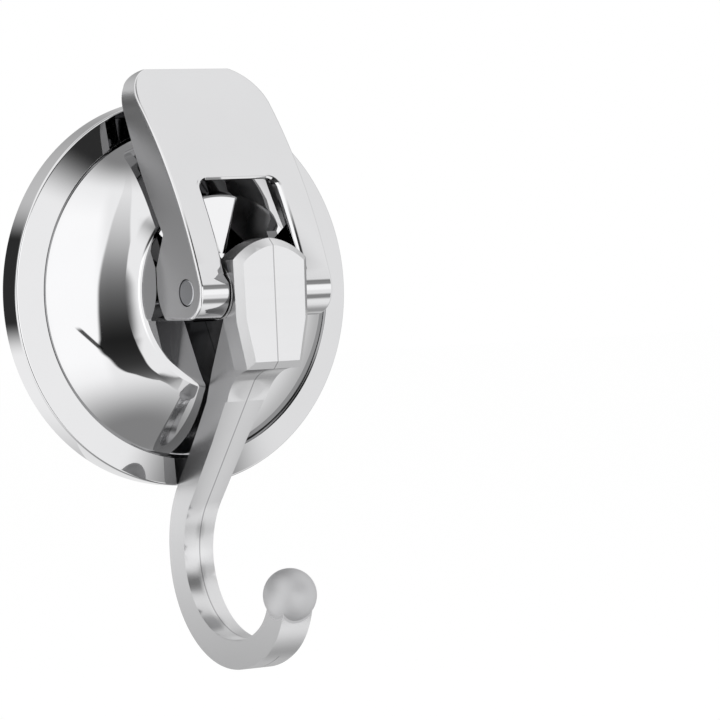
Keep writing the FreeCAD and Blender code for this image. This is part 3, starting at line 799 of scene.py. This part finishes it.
def soft_side(tree, distance, half, softness):
    """One inside a flag's half size and nothing outside it, with a soft edge between."""
    far = math_node(tree, "ABSOLUTE", math_node(tree, "DIVIDE", distance, half))
    start = math_node(tree, "SUBTRACT", 1.0, softness)
    end = math_node(tree, "ADD", 1.0, softness)
    return ramp(tree, far, start, end, 1.0, 0.0, "SMOOTHSTEP")


def flag_group():
    """How much light is left past one soft-edged flag."""
    group = new_group(
        "Studio flag", [(label, "Float", 1.0) for label in ("Turn", "Rise") + FLAG_SOCKETS],
        [("Light", "Float")])
    enter = group.nodes.new("NodeGroupInput").outputs
    leave = group.nodes.new("NodeGroupOutput").inputs
    up = math_node(group, "SUBTRACT", enter["Rise"], enter["Flag rise"])
    across = math_node(group, "SUBTRACT", enter["Turn"], enter["Flag turn"])
    across = math_node(group, "SUBTRACT", across, math_node(group, "MULTIPLY", up, enter["Lean"]))
    across = node(group, "Math", {0: across, 1: 180.0, 2: -180.0}, operation="WRAP").outputs[0]
    beside = soft_side(group, across, enter["Half width"], enter["Side softness"])
    above = soft_side(group, up, enter["Half height"], enter["End softness"])
    shade = math_node(group, "MULTIPLY", math_node(group, "MULTIPLY", beside, above), enter["Darkness"])
    group.links.new(math_node(group, "SUBTRACT", 1.0, shade), leave["Light"])
    return group


def curve_over(tree, value, low, high, pairs):
    """A smooth curve through pairs of value and result, with results between low and high."""
    first, last = pairs[0][0], pairs[-1][0]
    made = node(tree, "FloatCurve", {"Value": ramp(tree, value, first, last)})
    points = made.mapping.curves[0].points
    spots = [((at - first) / (last - first), (result - low) / (high - low)) for at, result in pairs]
    points[0].location, points[1].location = spots[0], spots[-1]
    for spot in spots[1:-1]:
        points.new(*spot)
    made.mapping.update()
    return ramp(tree, made.outputs[0], 0.0, 1.0, low, high)


def blade_light(tree, turn, rise):
    """How much light is left past the long curved flag."""
    middle = curve_over(tree, rise, -60.0, 20.0, [(row[0], row[1]) for row in BLADE])
    half = curve_over(tree, rise, 0.0, 20.0, [(row[0], row[2]) for row in BLADE])
    darkness = curve_over(tree, rise, 0.0, 1.0, [(row[0], row[3]) for row in BLADE])
    cover = soft_side(tree, math_node(tree, "SUBTRACT", turn, middle), half, BLADE_SOFTNESS)
    return math_node(tree, "SUBTRACT", 1.0, math_node(tree, "MULTIPLY", cover, darkness))


def studio_light(tree, level):
    """The room's light past all the flags, by the way that a ray goes."""
    parts = node(tree, "SeparateXYZ", {0: node(tree, "TexCoord").outputs["Generated"]}).outputs
    turn = math_node(tree, "ARCTAN2", parts["X"], math_node(tree, "MULTIPLY", parts["Y"], -1.0))
    turn = math_node(tree, "DEGREES", turn)
    rise = math_node(tree, "DEGREES", math_node(tree, "ARCSINE", parts["Z"]))
    light = math_node(tree, "MULTIPLY", blade_light(tree, turn, rise), level)
    group = flag_group()
    for name, amounts in FLAGS.items():
        inputs = {"Turn": turn, "Rise": rise, **dict(zip(FLAG_SOCKETS, amounts))}
        flag = node(tree, "Group", inputs, node_tree=group, label=name)
        light = math_node(tree, "MULTIPLY", flag.outputs[0], light)
    for start, end, least in FALLS:
        light = math_node(tree, "MULTIPLY", ramp(tree, rise, start, end, 1.0, least, "SMOOTHSTEP"), light)
    return light


def build_world(s):
    """White room for the camera, and the same room with its dark flags for the plating."""
    world = bpy.data.worlds.new("Studio")
    bpy.context.scene.world = world
    world.use_nodes = True
    tree = world.node_tree
    tree.nodes.clear()
    path = node(tree, "LightPath").outputs
    # Light that has gone to and fro between the pieces finds the studio dim
    dim = ramp(tree, path["Ray Depth"], DIM_START, DIM_END, 1.0, DIM_SHARE)
    light = math_node(tree, "MULTIPLY", studio_light(tree, s.mirror_level), dim)
    plain = node(tree, "Background", {"Color": WHITE, "Strength": s.light_level})
    studio = node(tree, "Background", {"Color": WHITE, "Strength": light})
    white = node(tree, "Background", {"Color": WHITE, "Strength": 1.0})
    mirror = node(tree, "MixShader", {0: path["Is Glossy Ray"], 1: plain.outputs[0], 2: studio.outputs[0]})
    seen = math_node(tree, "MAXIMUM", path["Is Camera Ray"], path["Is Transmission Ray"])
    room = node(tree, "MixShader", {0: seen, 1: mirror.outputs[0], 2: white.outputs[0]})
    node(tree, "OutputWorld", {"Surface": room.outputs[0]})


# Width of the floor in metres, strength of its glow, and the glow's share in what the camera sees
FLOOR_WIDTH = 6.0
FLOOR_GLOW = 1.05
GLOW_SHARE = 0.85


def add_floor(s):
    """Pale floor under the hook, white to the camera where no shadow falls."""
    deselect_all()
    bpy.ops.mesh.primitive_plane_add(size=FLOOR_WIDTH, location=(0, 0, (HOOK_LOW.z - s.floor_gap) * MM))
    floor = bpy.context.object
    floor.name = "floor"
    bpy.ops.object.transform_apply(location=True, rotation=True, scale=True)
    material = new_material("Pale floor")
    tree = material.node_tree
    matt = node(tree, "BsdfDiffuse", {"Color": s.floor_colour})
    bright = node(tree, "Emission", {"Color": WHITE, "Strength": FLOOR_GLOW})
    path = node(tree, "LightPath").outputs
    seen = math_node(tree, "MAXIMUM", path["Is Camera Ray"], path["Is Transmission Ray"])
    glow = math_node(tree, "MULTIPLY", seen, GLOW_SHARE)
    surface = node(tree, "MixShader", {0: glow, 1: matt.outputs[0], 2: bright.outputs[0]})
    node(tree, "OutputMaterial", {"Surface": surface.outputs[0]})
    floor.data.materials.append(material)
    floor.visible_glossy = False


# The card behind the foot of the hook: its corners in millimetres, and its light at its foot and its head
LOW_CARD = ((-90, 12, -34), (20, 12, -34), (20, 12, -72), (-90, 12, -72))
LOW_CARD_FOOT = 0.4
LOW_CARD_HEAD = 0.85
CARD_HIDDEN_FROM = ("camera", "diffuse", "transmission", "volume_scatter", "shadow")


def add_card(name, corners, low, high):
    """A glowing card that only the plating sees, dimmer at its foot than at its head."""
    mesh = bpy.data.meshes.new(name)
    mesh.from_pydata([Vector(corner) * MM for corner in corners], [], [(0, 1, 2, 3)])
    card = bpy.data.objects.new(name, mesh)
    bpy.context.scene.collection.objects.link(card)
    material = new_material(name)
    tree = material.node_tree
    heights = [corner[2] * MM for corner in corners]
    height = node(tree, "SeparateXYZ", {0: node(tree, "TexCoord").outputs["Object"]}).outputs["Z"]
    strength = ramp(tree, height, min(heights), max(heights), low, high)
    glow = node(tree, "Emission", {"Color": WHITE, "Strength": strength})
    node(tree, "OutputMaterial", {"Surface": glow.outputs[0]})
    mesh.materials.append(material)
    for ray in CARD_HIDDEN_FROM:
        setattr(card, "visible_" + ray, False)


# Half the frame in pixels, and the width of the camera's sensor in millimetres
HALF_FRAME = 360.0
SENSOR = 36.0


def add_camera(s):
    """Camera at the photograph's angle, turned so that the ring's centre falls on its place in the frame."""
    yaw, rise = s.camera_yaw, s.camera_rise
    back = Vector((-math.sin(yaw) * math.cos(rise), -math.cos(yaw) * math.cos(rise), math.sin(rise)))
    target = Vector((0, HOUSING_HIGH.y * MM, 0))
    forward = -back
    right = forward.cross(Vector((0, 0, 1))).normalized()
    up = right.cross(forward)
    rolled_right = right * math.cos(s.camera_roll) + up * math.sin(s.camera_roll)
    rolled_up = up * math.cos(s.camera_roll) - right * math.sin(s.camera_roll)
    pixels = s.focal_length / SENSOR * 2 * HALF_FRAME
    across, down = (s.disc_x - HALF_FRAME) / pixels, (s.disc_y - HALF_FRAME) / pixels
    # The way to the ring's centre is forward, and in the camera it has to be (across, -down, -1)
    level = Matrix((rolled_right, rolled_up, -forward)).transposed()
    wanted = Vector((across, -down, -1)).normalized()
    turn = wanted.rotation_difference(Vector((0, 0, -1)))
    rotation = level @ turn.to_matrix()
    bpy.ops.object.camera_add(location=target + back * s.camera_distance * MM)
    camera = bpy.context.object
    camera.rotation_euler = rotation.to_euler()
    camera.data.lens = s.focal_length
    camera.data.sensor_width = SENSOR
    camera.data.clip_start = 0.01
    camera.data.clip_end = 20.0
    bpy.context.scene.camera = camera


# The key softbox: its place and size in metres, and its power in watts
KEY_PLACE = (-0.5, -0.55, 0.6)
KEY_SIZE = (0.5, 0.5)
KEY_POWER = 1.6


def add_softbox(name, place, size, power):
    """An area lamp that looks at the hook."""
    bpy.ops.object.light_add(type="AREA", location=place)
    lamp = bpy.context.object
    lamp.name = name
    lamp.data.shape = "RECTANGLE"
    lamp.data.size, lamp.data.size_y = size
    lamp.data.energy = power
    lamp.visible_glossy = False
    lamp.rotation_euler = (-Vector(place)).to_track_quat("-Z", "Y").to_euler()


class SUCTIONHOOK_OT_studio(bpy.types.Operator):
    """Room, floor, lamp, card and camera"""

    bl_idname = "suctionhook.studio"
    bl_label = "Studio"

    def execute(self, context):
        s = context.scene.suction_studio
        build_world(s)
        add_floor(s)
        add_softbox("Key softbox", KEY_PLACE, KEY_SIZE, KEY_POWER)
        add_card("Low card", LOW_CARD, LOW_CARD_FOOT, LOW_CARD_HEAD)
        add_camera(s)
        context.scene.view_settings.view_transform = "Standard"
        return {"FINISHED"}


class SUCTIONHOOK_PT_panel(bpy.types.Panel):
    """Sizes, colours and build steps of the suction cup hook"""

    bl_idname = "SUCTIONHOOK_PT_panel"
    bl_label = "Suction Cup Hook"
    bl_space_type = "VIEW_3D"
    bl_region_type = "UI"
    bl_category = "Suction Hook"

    def draw(self, context):
        layout = self.layout
        for operator in OPERATORS:
            layout.operator(operator.bl_idname)
        for name, group in SETTINGS.items():
            box = layout.box()
            box.label(text=group.__name__.replace("Settings", ""))
            for field in group.__annotations__:
                box.prop(getattr(context.scene, name), field)


SETTINGS = {
    "suction_housing": HousingSettings,
    "suction_pad": PadSettings,
    "suction_lever": LeverSettings,
    "suction_hook": HookSettings,
    "suction_fittings": FittingSettings,
    "suction_studio": StudioSettings,
}
OPERATORS = (
    SUCTIONHOOK_OT_housing,
    SUCTIONHOOK_OT_pad,
    SUCTIONHOOK_OT_lever,
    SUCTIONHOOK_OT_hook,
    SUCTIONHOOK_OT_fittings,
    SUCTIONHOOK_OT_studio,
)


def register():
    """Register the settings, the operators and the panel."""
    for name, group in SETTINGS.items():
        bpy.utils.register_class(group)
        setattr(bpy.types.Scene, name, bpy.props.PointerProperty(type=group))
    for operator in OPERATORS:
        bpy.utils.register_class(operator)
    bpy.utils.register_class(SUCTIONHOOK_PT_panel)


def unregister():
    """Take everything out again."""
    bpy.utils.unregister_class(SUCTIONHOOK_PT_panel)
    for operator in reversed(OPERATORS):
        bpy.utils.unregister_class(operator)
    for name, group in reversed(SETTINGS.items()):
        delattr(bpy.types.Scene, name)
        bpy.utils.unregister_class(group)


def main():
    """Build every piece and the studio."""
    register()
    bpy.ops.suctionhook.housing()
    bpy.ops.suctionhook.pad()
    bpy.ops.suctionhook.lever()
    bpy.ops.suctionhook.hook()
    bpy.ops.suctionhook.fittings()
    bpy.ops.suctionhook.studio()
    deselect_all()


if __name__ == "__main__":
    main()
